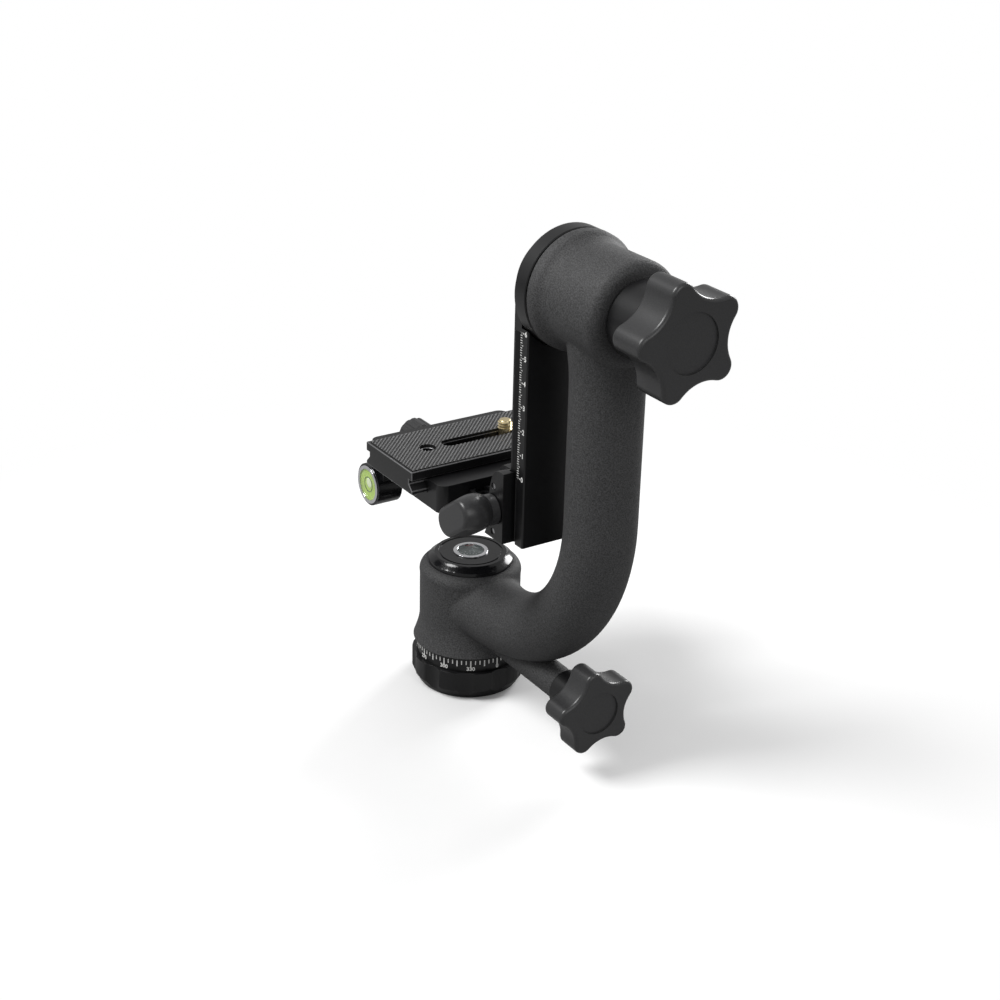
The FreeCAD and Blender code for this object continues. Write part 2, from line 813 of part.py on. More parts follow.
def pan_knob():
    knob = star_knob(pan_knob_x0, pan_knob_x1, pan_lock_z, pan_knob_r, pan_knob_valley_r,
                     pan_knob_lobe_r, pan_knob_phase)
    return knob.cut(rod_x(stud_r + fit / 2, pan_knob_x0 - 1, pan_knob_x0 + stud_in_knob + fit, 0, pan_lock_z))


# swing arm

def dovetail_cut(side, z0, z1):
    """The V groove along one edge of the rail. side is 1 for +Y and -1 for -Y."""
    lip_x = rail_x0 + dovetail_lip
    neck_y = rail_half - dovetail_depth
    outline = [(lip_x, rail_half + 1), (lip_x, rail_half), (dovetail_x1, neck_y),
               (groove_x1, neck_y), (groove_x1, rail_half + 1)]
    return extruded_z([(x, side * y) for x, y in outline], z0, z1)


def swing_arm():
    """The flat arm: a round upper end on the tilt axis and a dovetail rail below it."""
    back = block(rail_x0, flange_x0, -rail_half, rail_half, rail_z0, tilt_z)
    head = rod_x(rail_half, rail_x0, flange_x0, 0, tilt_z)
    front = block(rail_x0, rail_x1, -rail_half, rail_half, rail_z0, step_side_z)
    step = rod_x(step_r, flange_x0, rail_x1 + 1, 0, tilt_z)
    solid = joined([back, head, front.cut(step)])
    corners = edges_where(solid, lambda b: b.ZLength > rail_w * 3 and b.XLength < fit and b.YLength < fit)
    solid = solid.makeChamfer(rail_edge, corners)
    cuts = [dovetail_cut(side, rail_z0 - 1, groove_top) for side in (1, -1)]
    cuts.append(rod_z(rail_stop_r + fit, rail_z0 - 1, rail_z0 + rail_stop_len + fit, rail_stop_x, 0))
    cuts.append(rod_x(bearing_bore_r + fit, rail_x0 - 1, rail_x1, 0, tilt_z))
    cuts.append(rod_x(axle_head_r + fit, rail_x0 - 1, rail_x0 + axle_head_h + face_gap, 0, tilt_z))
    return solid.cut(cuts + flange_screw_cuts())


def flange_screw_shape(extra):
    head_x = rail_x0 + face_gap
    y = flange_screw_circle_r * math.cos(math.pi / 4)
    z = tilt_z + flange_screw_circle_r * math.sin(math.pi / 4)
    head = rod_x(flange_screw_head_r + extra, head_x, head_x + flange_screw_head_h, y, z)
    shank = rod_x(flange_screw_r + extra, head_x, head_x + flange_screw_len + extra, y, z)
    return joined([head, shank])


def flange_screw_cuts():
    centre = Vector(0, 0, tilt_z)
    y = flange_screw_circle_r * math.cos(math.pi / 4)
    z = tilt_z + flange_screw_circle_r * math.sin(math.pi / 4)
    mouth = rod_x(flange_screw_head_r + fit, rail_x0 - 1, rail_x0 + face_gap, y, z)
    shapes = around(flange_screw_shape(fit), flange_screw_count, X, centre)
    return shapes + around(mouth, flange_screw_count, X, centre)


def flange_screws():
    return Part.makeCompound(around(flange_screw_shape(0), flange_screw_count, X, Vector(0, 0, tilt_z)))


def tilt_flange():
    """The round flange that faces the hub."""
    disc = turned_x([(flange_x0, bearing_bore_r + fit), (flange_x0, flange_r - flange_chamfer),
                     (flange_x0 + flange_chamfer, flange_r), (flange_x1 - 0.4, flange_r),
                     (flange_x1, flange_r - 0.4), (flange_x1, bearing_bore_r + fit)])
    return disc.cut(around(flange_screw_shape(fit), flange_screw_count, X, Vector(0, 0, tilt_z)))


def tilt_axle():
    """The axle: a wide head in the swing arm, a bearing shaft and a threaded end for the knob."""
    head_x = rail_x0 + face_gap
    shaft_end = axle_shoulder_x
    return turned_x([(head_x, 0), (head_x, axle_head_r), (head_x + axle_head_h, axle_head_r),
                     (head_x + axle_head_h, bearing_bore_r), (shaft_end, bearing_bore_r),
                     (shaft_end, axle_thread_r), (axle_thread_x1 - 0.6, axle_thread_r),
                     (axle_thread_x1, axle_thread_r - 0.6), (axle_thread_x1, 0)])


def axle_cap():
    """The disc that covers the axle's head, with a low rim round it."""
    x1 = rail_x0
    rim_x = x1 - axle_cap_rim_h
    face_x = x1 - axle_cap_h
    return turned_x([(face_x, 0), (face_x, axle_cap_disc_r - 0.4), (face_x + 0.4, axle_cap_disc_r),
                     (rim_x, axle_cap_disc_r), (rim_x, axle_cap_r - 0.3), (rim_x + 0.3, axle_cap_r),
                     (x1, axle_cap_r), (x1, 0)])


def rail_stop_screw():
    """The screw in the rail's lower end whose head stops the platform."""
    head = rod_z(rail_stop_head_r, rail_z0 - rail_stop_head_h, rail_z0, rail_stop_x, 0)
    shank = rod_z(rail_stop_r, rail_z0 - rail_stop_head_h, rail_z0 + rail_stop_len, rail_stop_x, 0)
    socket = rod_z(rail_stop_r, rail_z0 - rail_stop_head_h - 1, rail_z0 - rail_stop_head_h / 2, rail_stop_x, 0)
    return joined([head, shank]).cut(socket)


# tilt lock

def tilt_pressure_washer():
    washer = rod_x(press_washer_r, press_x0, press_x0 + press_washer_h, 0, tilt_z)
    return washer.cut(rod_x(axle_thread_r + run, press_x0 - 1, press_x0 + press_washer_h + 1, 0, tilt_z))


def tilt_knob_neck():
    spigot_x = press_x0 + press_washer_h + fit
    neck = turned_x([(spigot_x, 0), (spigot_x, tilt_neck_spigot_r), (neck_x0, tilt_neck_spigot_r),
                     (neck_x0, tilt_neck_r - 1), (neck_x0 + 1, tilt_neck_r), (tilt_knob_x0, tilt_neck_r),
                     (tilt_knob_x0, 0)])
    insert_x = tilt_knob_x0 - knob_insert_len
    cuts = [rod_x(knob_insert_r, insert_x, tilt_knob_x0 + 1, 0, tilt_z),
            rod_x(axle_thread_r + 0.4, spigot_x - 1, tilt_knob_x0, 0, tilt_z)]
    return neck.cut(cuts)


def tilt_knob_insert():
    x1 = tilt_knob_x0
    nut = rod_x(knob_insert_r - fit, x1 - knob_insert_len + fit, x1, 0, tilt_z)
    return nut.cut(rod_x(axle_thread_r + run, x1 - knob_insert_len - 1, x1 + 1, 0, tilt_z))


def tilt_knob():
    return star_knob(tilt_knob_x0, tilt_knob_x1, tilt_z, tilt_knob_r, tilt_knob_valley_r,
                     tilt_knob_lobe_r, tilt_knob_phase)


# platform

def rail_bracket():
    """The upright on the rail with its fixed jaw at +Y, and the foot that stands on the leg."""
    back = rail_x0 - slide_gap
    hook_y = rail_half + hook_gap
    reach = hook_x1 - hook_x0 - hook_tip_w
    outline = [(bracket_x0, bracket_y0), (back, bracket_y0), (back, hook_y), (hook_x0, hook_y),
               (hook_x0 + reach, hook_y - reach), (hook_x1, hook_y - reach),
               (hook_x1, bracket_y1), (bracket_x0, bracket_y1)]
    upright = extruded_z(outline, bracket_z0, bracket_z1)
    foot = block(foot_x0, bracket_x0 + 1, bracket_y0, leg_half, leg_top_z, foot_top_z)
    side = block(foot_x0, foot_x1, -leg_half, bracket_y0 + 1, leg_top_z, foot_top_z)
    solid = joined([upright, foot, side])
    solid = solid.makeFillet(foot_fillet_r, edges_on(solid, bracket_x0, foot_top_z))
    solid = solid.makeFillet(bracket_top_r, edges_on(solid, bracket_x0, bracket_z1))
    cuts = leg_screw_cuts()
    bore_end = jaw_y0 + height_stud_len + 1
    cuts.append(rod_y(stud_r + run, bracket_y0 - 1, bore_end, height_lock_x, height_lock_z))
    for dz in (-jaw_dowel_dz, jaw_dowel_dz):
        cuts.append(rod_y(jaw_dowel_r + fit, bracket_y0 - 1, jaw_dowel_end() + fit,
                          height_lock_x, height_lock_z + dz))
    return solid.cut(cuts)


def edges_on(solid, x, z):
    """The long edges that run along Y through x and z."""
    return edges_where(solid, lambda b: abs(b.XMin - x) < fit and abs(b.XMax - x) < fit
                       and abs(b.ZMin - z) < fit and abs(b.ZMax - z) < fit and b.YLength > leg_half)


def platform_leg():
    """The flat leg that carries the clamp."""
    wide = block(leg_x0, foot_x1, -leg_half, leg_half, bracket_z0, leg_top_z)
    narrow = block(foot_x1 - 1, bracket_x0, bracket_y0, leg_half, bracket_z0, leg_top_z)
    leg = joined([wide, narrow])
    corners = edges_where(leg, lambda b: b.ZLength > 1 and b.XMax < leg_x0 + 1)
    leg = leg.makeFillet(clamp_corner_r, corners)
    return leg.cut(leg_screw_cuts() + clamp_screw_cuts())


def leg_screw(side, extra):
    """A socket screw from the foot's top down into the leg."""
    y = side * leg_screw_y
    head_z0 = foot_top_z - leg_screw_sink - leg_screw_head_h
    head = rod_z(leg_screw_head_r, head_z0, head_z0 + leg_screw_head_h, leg_screw_x, y)
    shank = rod_z(leg_screw_r + extra, bracket_z0 + 0.6 - extra, head_z0 + 1, leg_screw_x, y)
    return joined([head, shank])


def leg_screw_cuts():
    head_z0 = foot_top_z - leg_screw_sink - leg_screw_head_h
    cuts = [leg_screw(side, fit) for side in (1, -1)]
    cuts += [rod_z(leg_screw_recess_r, head_z0, foot_top_z + 1, leg_screw_x, side * leg_screw_y) for side in (1, -1)]
    return cuts


def leg_screws():
    head_top = foot_top_z - leg_screw_sink
    screws = []
    for side in (1, -1):
        hexagon = rod_z(leg_screw_hex_r, head_top - 1.8, head_top + 1, leg_screw_x, side * leg_screw_y)
        screws.append(leg_screw(side, 0).cut(hexagon))
    return Part.makeCompound(screws)


def clamp_base():
    """The bed under the plate with the fixed jaw at its +X side."""
    outer = block(plate_x - plate_half, clamp_x1, -clamp_half, clamp_half, clamp_z0, clamp_top)
    corners = edges_where(outer, lambda b: b.ZLength > 1 and b.XLength < fit and b.XMin > clamp_x1 - 1)
    outer = outer.makeFillet(clamp_corner_r, corners)
    wall = plate_x + clamp_inner
    hook = wall - dovetail_depth
    lip_z = plate_lip_z + grip_gap
    left = plate_x - plate_half - 1
    channel = [(left, bed_top), (wall, bed_top), (wall, lip_z), (hook, lip_z + dovetail_depth),
               (hook, clamp_top + 1), (left, clamp_top + 1)]
    cuts = [extruded_y(channel, -clamp_half - 1, clamp_half + 1)]
    stud_end = clamp_jaw_x0 + clamp_jaw_w + clamp_stud_len
    cuts.append(rod_x(clamp_stud_r + run, left, stud_end, clamp_lock_y, clamp_lock_z))
    for y in (-guide_pin_y, guide_pin_y):
        cuts.append(rod_x(guide_pin_r + fit, left, guide_pin_end() + fit, y, clamp_lock_z))
    return outer.cut(cuts + clamp_screw_cuts())


def clamp_screw(x, y, extra):
    """A countersunk screw from the leg's underside up into the clamp's bed."""
    slope = clamp_screw_head_h / (clamp_screw_head_r - clamp_screw_r)
    head_end = bracket_z0 + clamp_screw_head_h - extra * slope
    tip = bracket_z0 + clamp_screw_len + extra
    screw = turned_z([(0, bracket_z0), (clamp_screw_head_r, bracket_z0), (clamp_screw_r + extra, head_end),
                      (clamp_screw_r + extra, tip), (0, tip)])
    screw.translate(Vector(x, y, 0))
    return screw


def clamp_screw_cuts():
    return [clamp_screw(x, y, fit) for x in clamp_screw_x for y in (-clamp_screw_y, clamp_screw_y)]


def clamp_screws():
    screws = []
    for x in clamp_screw_x:
        for y in (-clamp_screw_y, clamp_screw_y):
            socket = rod_z(clamp_screw_r * 0.7, bracket_z0 - 1, bracket_z0 + 1, x, y)
            screws.append(clamp_screw(x, y, 0).cut(socket))
    return Part.makeCompound(screws)


def jaw_dowel_end():
    return bracket_y0 + jaw_dowel_len


def guide_pin_end():
    return clamp_jaw_x0 + guide_pin_len + 1


def level_screw_y():
    return level_y0 + level_len / 2


def rail_jaw_dowels():
    y0 = jaw_y0 + face_gap
    pins = [rod_y(jaw_dowel_r, y0, jaw_dowel_end(), height_lock_x, height_lock_z + dz)
            for dz in (-jaw_dowel_dz, jaw_dowel_dz)]
    return Part.makeCompound(pins)


def rail_jaw():
    """The loose jaw on the -Y side that hooks the rail's edge. Its back leans and rounds over."""
    back = rail_x0 - slide_gap
    hook_y = -rail_half - hook_gap
    reach = hook_x1 - hook_x0 - hook_tip_w
    left = jaw_lean[0][0]
    outline = [(left, jaw_y0), (hook_x1, jaw_y0), (hook_x1, hook_y + reach), (hook_x0 + reach, hook_y + reach),
               (hook_x0, hook_y), (back, hook_y), (back, jaw_inner), (left, jaw_inner)]
    jaw = extruded_z(outline, bracket_z0, bracket_z1)
    y = jaw_y0 - 1
    lean = Part.BSplineCurve()
    lean.interpolate([Vector(x, y, z) for x, z in jaw_lean])
    corner = Vector(left - 1, y, bracket_z1 + 1)
    foot = Vector(left - 1, y, bracket_z0)
    top = Vector(jaw_lean[-1][0], y, bracket_z1 + 1)
    wire = Part.Wire([lean.toShape(), Part.makeLine(Vector(jaw_lean[-1][0], y, bracket_z1), top),
                      Part.makeLine(top, corner), Part.makeLine(corner, foot),
                      Part.makeLine(foot, Vector(left, y, bracket_z0))])
    cuts = [Part.Face(wire).extrude(Y * (jaw_inner - jaw_y0 + 2))]
    cuts.append(rod_y(stud_r + run, jaw_y0 - 1, jaw_inner + 1, height_lock_x, height_lock_z))
    for dz in (-jaw_dowel_dz, jaw_dowel_dz):
        cuts.append(rod_y(jaw_dowel_r + run, jaw_y0 - 1, jaw_inner + 1, height_lock_x, height_lock_z + dz))
    return jaw.cut(cuts)


# height lock

def height_stud():
    y0 = jaw_y0 - wing_neck_len - wing_depth / 2
    return rod_y(stud_r, y0, jaw_y0 + height_stud_len - face_gap, height_lock_x, height_lock_z)


def wing_outline(y, length, width):
    """A rounded bar outline across Y, as long as length and as high as width."""
    half = width / 2
    reach = length / 2 - half
    c = Vector(height_lock_x, y, height_lock_z)
    a = c + Vector(-reach, 0, half)
    b = c + Vector(reach, 0, half)
    d = c + Vector(reach, 0, -half)
    e = c + Vector(-reach, 0, -half)
    right = Part.Arc(b, c + Vector(length / 2, 0, 0), d).toShape()
    left = Part.Arc(e, c + Vector(-length / 2, 0, 0), a).toShape()
    return Part.Wire([Part.makeLine(a, b), right, Part.makeLine(d, e), left])


def height_knob():
    """The wing knob that clamps the platform on the rail."""
    neck_y = jaw_y0 - wing_neck_len
    wing_y0 = neck_y - wing_depth
    wing = Part.makeLoft([wing_outline(neck_y, wing_len * wing_hub_len, wing_w * wing_hub_w),
                          wing_outline((neck_y + wing_y0) / 2, wing_len, wing_w),
                          wing_outline(wing_y0, wing_len * wing_end_len, wing_w * wing_end_w)], True, False)
    neck = rod_y(wing_neck_r, neck_y - 2, jaw_y0 - face_gap, height_lock_x, height_lock_z)
    knob = joined([wing, neck])
    tip = edges_where(knob, lambda b: b.YMax < wing_y0 + fit)
    knob = knob.makeFillet(wing_edge_r, tip)
    knob.rotate(Vector(height_lock_x, 0, height_lock_z), Y, wing_turn)
    return knob.cut(rod_y(stud_r + fit / 2, jaw_y0 - wing_neck_len - wing_depth / 2 - fit, jaw_y0,
                          height_lock_x, height_lock_z))


# quick-release clamp

def clamp_jaw():
    """The moving jaw at the -X side, which also carries the bubble level."""
    hook = clamp_jaw_x1 + dovetail_depth
    outer = block(clamp_jaw_x0, hook, -clamp_half, clamp_half, clamp_z0, clamp_top)
    corners = edges_where(outer, lambda b: b.ZLength > 1 and b.XLength < fit and b.XMax < clamp_jaw_x0 + 1)
    outer = outer.makeFillet(clamp_corner_r, corners)
    wall = clamp_jaw_x1
    lip_z = plate_lip_z + grip_gap
    room = [(wall, clamp_z0 - 1), (hook + 1, clamp_z0 - 1), (hook + 1, clamp_top + 1), (hook, clamp_top + 1),
            (hook, lip_z + dovetail_depth), (wall, lip_z)]
    jaw = outer.cut(extruded_y(room, -clamp_half - 1, clamp_half + 1))
    cuts = [rod_x(clamp_stud_r + run, clamp_jaw_x0 - 1, wall + 1, clamp_lock_y, clamp_lock_z)]
    for y in (-guide_pin_y, guide_pin_y):
        cuts.append(rod_x(guide_pin_r + run, clamp_jaw_x0 - 1, wall + 1, y, clamp_lock_z))
    cuts.append(rod_z(level_screw_r + fit, clamp_z0 - 1, lug_z0 + level_screw_len + fit,
                      level_screw_x, level_screw_y()))
    return jaw.cut(cuts)


def jaw_guide_pins():
    pins = [rod_x(guide_pin_r, clamp_jaw_x0 + 1, guide_pin_end(), y, clamp_lock_z)
            for y in (-guide_pin_y, guide_pin_y)]
    return Part.makeCompound(pins)


def clamp_stud():
    x0 = clamp_jaw_x0 - face_gap - clamp_neck_len - clamp_knob_w / 2
    x1 = clamp_jaw_x0 + clamp_jaw_w + clamp_stud_len - face_gap
    return rod_x(clamp_stud_r, x0, x1, clamp_lock_y, clamp_lock_z)


def clamp_knob():
    """The fluted knob that draws the moving jaw in."""
    neck_x1 = clamp_jaw_x0 - face_gap
    knob_x1 = neck_x1 - clamp_neck_len
    knob_x0 = knob_x1 - clamp_knob_w
    body = turned_x([(knob_x0, 0), (knob_x0, clamp_knob_r - 1), (knob_x0 + 1, clamp_knob_r),
                     (knob_x1 - 1, clamp_knob_r), (knob_x1, clamp_knob_r - 1), (knob_x1, clamp_neck_r),
                     (neck_x1, clamp_neck_r), (neck_x1, 0)], clamp_lock_z, clamp_lock_y)
    flute = rod_x(clamp_knob_flute_r, knob_x0 - 1, knob_x1 + 1,
                  clamp_lock_y + clamp_knob_r + clamp_knob_flute_r * 0.55, clamp_lock_z)
    centre = Vector(0, clamp_lock_y, clamp_lock_z)
    body = body.cut(around(flute, clamp_knob_flutes, X, centre))
    return body.cut(rod_x(clamp_stud_r + fit / 2, knob_x0 + clamp_knob_w / 2 - fit, neck_x1 + 1,
                          clamp_lock_y, clamp_lock_z))


# quick-release plate

def quick_plate():
    """The plate: a slab with a dovetail below it, a slot and a hole."""
    half = plate_half
    neck = half - dovetail_depth
    right = [(half, plate_bottom), (half, plate_lip_z), (neck, plate_neck_z), (neck, plate_slab_z),
             (half, plate_slab_z), (half, plate_top)]
    outline = [(plate_x + x, z) for x, z in right]
    outline += [(plate_x - x, z) for x, z in reversed(right)]
    plate = extruded_y(outline, -plate_y1, plate_y1)
    pad_half = half - rim_w
    cuts = [block(plate_x - pad_half, plate_x + pad_half, -plate_y1 + rim_w, plate_y1 - rim_w,
                  plate_top - pad_recess, plate_top + 1),
            slot_z(slot_half, slot_y0, slot_y1, plate_bottom - 1, plate_top, plate_x),
            slot_z(slot_wide_half, slot_y0 - 3, slot_y1 + 3, plate_bottom - 1,
                   plate_bottom + slot_wide_depth, plate_x),
            rod_z(plate_hole_r, plate_bottom - 1, plate_top, plate_x, plate_hole_y)]
    cuts.append(rod_z(stop_screw_thread_r + fit, plate_bottom - 1, plate_bottom + stop_screw_thread_len + fit,
                      plate_x, stop_screw_y()))
    return plate.cut(cuts)


def stop_screw_y():
    return -plate_y1 + stop_screw_inset


def plate_pad():
    """The rubber pad in the plate's top, open at the slot and the hole."""
    z0 = plate_top - pad_recess
    pad_half = plate_half - rim_w - fit
    y1 = plate_y1 - rim_w - fit
    pad = block(plate_x - pad_half, plate_x + pad_half, -y1, y1, z0, z0 + pad_t)
    m = pad_slot_margin
    cuts = [slot_z(slot_half + m, slot_y0 - m, slot_y1 + m, z0 - 1, z0 + pad_t + 1, plate_x),
            rod_z(plate_hole_r + m, z0 - 1, z0 + pad_t + 1, plate_x, plate_hole_y)]
    return pad.cut(cuts)


def plate_stop_screw():
    """The screw under the plate's -Y end that stops it from sliding out of the clamp."""
    head = rod_z(stop_screw_r, plate_bottom - stop_screw_h, plate_bottom, plate_x, stop_screw_y())
    thread = rod_z(stop_screw_thread_r, plate_bottom - stop_screw_h, plate_bottom + stop_screw_thread_len,
                   plate_x, stop_screw_y())
    return joined([head, thread])


def screw_ledge_z():
    return plate_bottom + slot_wide_depth


def camera_screw_washer():
    z1 = screw_ledge_z() - fit
    washer = rod_z(screw_washer_r, z1 - screw_washer_h, z1, plate_x, camera_screw_y)
    return washer.cut(rod_z(camera_screw_r + run, z1 - 2, z1 + 1, plate_x, camera_screw_y))


def camera_screw():
    """The brass screw that holds a camera or lens foot, with a slotted head below."""
    head_top = screw_ledge_z() - screw_washer_h - 2 * fit
    head_z0 = head_top - screw_head_h
    head = rod_z(screw_head_r, head_z0, head_top, plate_x, camera_screw_y)
    thread_z0 = plate_top - pad_recess + pad_t + 2 * fit
    shank = rod_z(camera_shank_r, head_z0, camera_screw_top, plate_x, camera_screw_y)
    thread = rod_z(camera_screw_r, thread_z0, camera_screw_top, plate_x, camera_screw_y)
    slot = block(plate_x - screw_head_r - 1, plate_x + screw_head_r + 1, camera_screw_y - screw_slot_w / 2,
                 camera_screw_y + screw_slot_w / 2, head_z0 - 1, head_z0 + screw_slot_depth)
    return joined([head, shank, thread]).cut(slot)


# bubble level

def level_housing():
    """A short barrel with a lug that a screw holds against the moving jaw's underside."""
    barrel = rod_y(level_r, level_y0, level_y0 + level_len, level_x, level_z)
    lug = block(lug_x0, lug_x1, level_y0 + lug_inset, level_y0 + level_len, lug_z0, clamp_z0)
    solid = joined([barrel, lug])
    cuts = [rod_y(vial_r + fit, level_y0 - 1, level_y0 + vial_len + fit, level_x, level_z),
            rod_z(level_screw_r + fit, lug_z0 - 1, clamp_z0 + 1, level_screw_x, level_screw_y()),
            rod_z(level_screw_head_r + fit, lug_z0 - 1, lug_z0 + level_screw_head_h,
                  level_screw_x, level_screw_y())]
    return solid.cut(cuts)


def level_screw():
    head = rod_z(level_screw_head_r, lug_z0, lug_z0 + level_screw_head_h, level_screw_x, level_screw_y())
    shank = rod_z(level_screw_r, lug_z0, lug_z0 + level_screw_len, level_screw_x, level_screw_y())
    return joined([head, shank])


def level_vial():
    return rod_y(vial_r, level_y0, level_y0 + vial_len, level_x, level_z)


def level_bezel():
    ring = rod_y(bezel_r, level_y0 - bezel_h, level_y0, level_x, level_z)
    return ring.cut(rod_y(bezel_r - bezel_wall, level_y0 - 1, level_y0 + 1, level_x, level_z))


PARTS = [
    base_grip, thread_insert, base_screws, degree_ring, pan_spindle, pan_inner_races, spindle_nut,
    arm_casting, pan_outer_races, top_cap, compass_cup, compass_dial, compass_needle, compass_lens,
    compass_ring, tilt_outer_races, thrust_washer,
    pan_shoe, pan_stud, pan_knob_neck, pan_knob,
    swing_arm, tilt_flange, tilt_axle, flange_screws, axle_cap, tilt_inner_races, rail_stop_screw,
    tilt_pressure_washer, tilt_knob_neck, tilt_knob_insert, tilt_knob,
    rail_bracket, platform_leg, leg_screws, clamp_base, clamp_screws,
    rail_jaw_dowels, rail_jaw, height_stud, height_knob,
    clamp_jaw, jaw_guide_pins, clamp_stud, clamp_knob,
    level_housing, level_screw, level_vial, level_bezel,
    quick_plate, plate_pad, plate_stop_screw, camera_screw_washer, camera_screw,
]


def main():
    os.makedirs("parts", exist_ok=True)
    for make in PARTS:
        shape = make()
        good = shape.isValid() and shape.Volume > 0
        print(make.__name__, len(shape.Solids), round(shape.Volume, 1), "valid" if good else "NOT VALID")
        shape.exportStep("parts/" + make.__name__ + ".step")


main()
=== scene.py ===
# %% [markdown]
# # A gimbal tripod head, finished and lit
# The frame holds every machined piece of the head at its real size. This lesson gives the pieces
# their finishes, models the small details that sit on them, and lights the whole for a portrait.
# Lengths in the code are written in millimetres and turned into metres by `mm`.

# %% Load the frame
import math
import bpy
from mathutils import Matrix, Vector


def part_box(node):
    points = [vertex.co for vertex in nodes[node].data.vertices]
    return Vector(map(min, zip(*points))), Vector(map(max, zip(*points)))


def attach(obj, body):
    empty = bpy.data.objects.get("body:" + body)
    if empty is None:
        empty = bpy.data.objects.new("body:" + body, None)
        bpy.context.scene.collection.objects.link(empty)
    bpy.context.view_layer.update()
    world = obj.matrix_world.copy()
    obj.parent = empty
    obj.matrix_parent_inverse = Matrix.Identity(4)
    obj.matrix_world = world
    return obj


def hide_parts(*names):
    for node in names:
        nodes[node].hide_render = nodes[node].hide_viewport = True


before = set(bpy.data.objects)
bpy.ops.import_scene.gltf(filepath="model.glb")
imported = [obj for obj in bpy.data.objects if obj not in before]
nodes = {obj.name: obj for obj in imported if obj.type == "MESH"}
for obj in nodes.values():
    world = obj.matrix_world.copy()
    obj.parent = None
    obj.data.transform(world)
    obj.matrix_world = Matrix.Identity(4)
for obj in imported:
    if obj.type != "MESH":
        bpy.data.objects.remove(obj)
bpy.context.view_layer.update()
print("pieces in the frame:", len(nodes))

# %% [markdown]
# ## Small tools
# A few short functions keep the modelling steps readable. `select` makes exactly the given objects
# active, `settle` puts a piece's place into its mesh, and `give` paints it and ties it to the body
# that carries it.

# %% Tools for modelling
def mm(value):
    return value / 1000.0


def at(x, y, z):
    return (mm(x), mm(y), mm(z))


def select(*objs):
    bpy.ops.object.select_all(action="DESELECT")
    for obj in objs:
        obj.select_set(True)
    bpy.context.view_layer.objects.active = objs[0]


def settle(obj):
    select(obj)
    bpy.ops.object.transform_apply(location=True, rotation=True, scale=True)
    return obj


def apply(obj, kind, **settings):
    """Adds one modifier, sets it and applies it."""
    select(obj)
    modifier = obj.modifiers.new("step", kind)
    for key, value in settings.items():
        setattr(modifier, key, value)
    bpy.ops.object.modifier_apply(modifier="step")
    return obj


def join(objs, name):
    select(*objs)
    if len(objs) > 1:
        bpy.ops.object.join()
    obj = bpy.context.object
    obj.name = name
    obj.data.name = name
    return obj


def give(obj, material, body):
    """Paints a finished piece and ties it to its body."""
    obj.data.materials.clear()
    obj.data.materials.append(material)
    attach(obj, body)
    print(obj.name, "has", len(obj.data.polygons), "faces")


def bar(x0, x1, y0, y1, z0, z1):
    """A box between two corners, with its place in its mesh."""
    middle = at((x0 + x1) / 2, (y0 + y1) / 2, (z0 + z1) / 2)
    bpy.ops.mesh.primitive_cube_add(size=1, location=middle, scale=at(x1 - x0, y1 - y0, z1 - z0))
    return settle(bpy.context.object)


def drum(radius, z0, z1, x=0.0, y=0.0, vertices=64):
    """An upright cylinder, with its place in its mesh."""
    bpy.ops.mesh.primitive_cylinder_add(vertices=vertices, radius=mm(radius), depth=mm(z1 - z0),
                                        location=at(x, y, (z0 + z1) / 2))
    return settle(bpy.context.object)


def cut(obj, tool, operation="DIFFERENCE"):
    """Cuts obj with tool, and removes the tool."""
    apply(obj, "BOOLEAN", object=tool, operation=operation, solver="EXACT")
    bpy.data.objects.remove(tool)
    return obj


# %% [markdown]
# ## Finishes
# No real surface has one flat colour. Each finish mixes a fine grain into its colour, lets a broad
# noise vary its roughness a little, and feeds the grain to a bump that is only microns high.

# %% Tools for finishes
def new_material(name):
    material = bpy.data.materials.new(name)
    material.use_nodes = True
    tree = material.node_tree
    return material, tree, tree.nodes["Principled BSDF"]


def noise(tree, scale, detail=4.0):
    """Noise in the piece's own space, with scale in cells per metre."""
    place = tree.nodes.new("ShaderNodeTexCoord")
    node = tree.nodes.new("ShaderNodeTexNoise")
    node.inputs["Scale"].default_value = scale
    node.inputs["Detail"].default_value = detail
    tree.links.new(place.outputs["Object"], node.inputs["Vector"])
    return node.outputs[0]


def two_tone(tree, value, low, high, start=0.32, end=0.68):
    """A colour that goes from low to high with a value."""
    node = tree.nodes.new("ShaderNodeValToRGB")
    node.color_ramp.elements[0].position = start
    node.color_ramp.elements[0].color = (*low, 1.0)
    node.color_ramp.elements[1].position = end
    node.color_ramp.elements[1].color = (*high, 1.0)
    tree.links.new(value, node.inputs["Fac"])
    return node.outputs["Color"]


def map_range(tree, value, start, end, low, high):
    """Turns start..end into low..high, and holds it there outside them."""
    node = tree.nodes.new("ShaderNodeMapRange")
    node.inputs["From Min"].default_value = start
    node.inputs["From Max"].default_value = end
    node.inputs["To Min"].default_value = low
    node.inputs["To Max"].default_value = high
    tree.links.new(value, node.inputs["Value"])
    return node.outputs["Result"]


def between(tree, value, low, high):
    """Spreads a noise, whose values crowd round its middle, over low..high."""
    return map_range(tree, value, 0.3, 0.7, low, high)


def bump(tree, shader, value, height):
    node = tree.nodes.new("ShaderNodeBump")
    node.inputs["Distance"].default_value = height
    tree.links.new(value, node.inputs["Height"])
    tree.links.new(node.outputs["Normal"], shader.inputs["Normal"])


